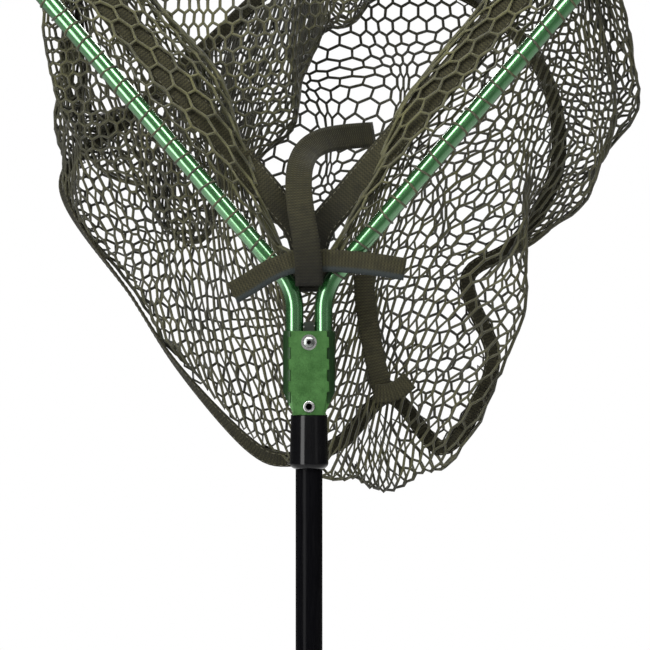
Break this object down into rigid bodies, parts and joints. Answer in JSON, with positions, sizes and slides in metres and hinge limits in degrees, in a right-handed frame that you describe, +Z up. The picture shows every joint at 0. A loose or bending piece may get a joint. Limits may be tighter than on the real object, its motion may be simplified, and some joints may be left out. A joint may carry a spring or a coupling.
{
  "type": "landing net",
  "caption": "Landing net with a bent-tube hoop clamped in a yoke, a hanging mesh bag with webbing tapes, and a twist-lock handle that extends.",
  "frame": {"origin": "middle of the hand grip, on the handle's axis", "axes": "+Z up along the handle to the hoop, +X to the right seen from the front, +Y back into the bag"},
  "size_m": [0.518, 0.1646, 1.0921],
  "materials": {
    "grip_foam": "matt foam",
    "butt_rubber": "matt rubber",
    "handle_black": "satin black paint",
    "lock_black": "fine moulded texture",
    "bush_white": "plain moulded",
    "plain_aluminium": "turned",
    "collar_black": "gloss",
    "spigot_dark": "dark anodised",
    "yoke_green": "green anodised, satin",
    "steel": "bright",
    "tube_green": "green anodised, bright",
    "netting": "knotless twine",
    "webbing": "woven tape"
  },
  "bodies": {
    "lower_handle": {"grip": "grip_foam", "butt_cap": "butt_rubber", "lower_tube": "handle_black", "lock_sleeve": "lock_black", "lock_collet": "bush_white"},
    "lock_nut": {"lock_nut": "lock_black"},
    "upper_handle": {"upper_tube": "handle_black", "guide_bush": "bush_white", "tube_ferrule": "plain_aluminium"},
    "collar": {"coupling_collar": "collar_black"},
    "head": {"spigot": "spigot_dark", "front_yoke": "yoke_green", "rear_yoke": "yoke_green", "clamp_screw": "steel", "clamp_washer": "steel", "clamp_nut": "steel", "hollow_rivet": "steel", "hoop_tube": "tube_green", "net_wall": "netting", "net_floor": "netting", "rim_tape": "webbing", "seam_tape": "webbing", "tie_tape": "webbing", "drop_tape": "webbing", "slack_tape": "webbing"}
  },
  "joints": [
    {"name": "handle_extend", "type": "slide", "parent": "lower_handle", "child": "upper_handle", "axis": [0, 0, 1], "range_m": [0, 0.318]},
    {"name": "twist_lock", "type": "hinge", "parent": "lower_handle", "child": "lock_nut", "pos_m": [0, 0, 0.31], "axis": [0, 0, 1], "range_deg": [0, 90]},
    {"name": "collar_turn", "type": "hinge", "parent": "upper_handle", "child": "collar", "pos_m": [0, 0, 0.47], "axis": [0, 0, -1], "range_deg": [0, 1440]},
    {"name": "head_lift", "type": "slide", "parent": "upper_handle", "child": "head", "axis": [0, 0, 1], "range_m": [0, 0.012]}
  ],
  "couplings": [
    {"joint": "collar_turn", "follows": "head_lift", "rad_per_m": 2094.4}
  ]
}
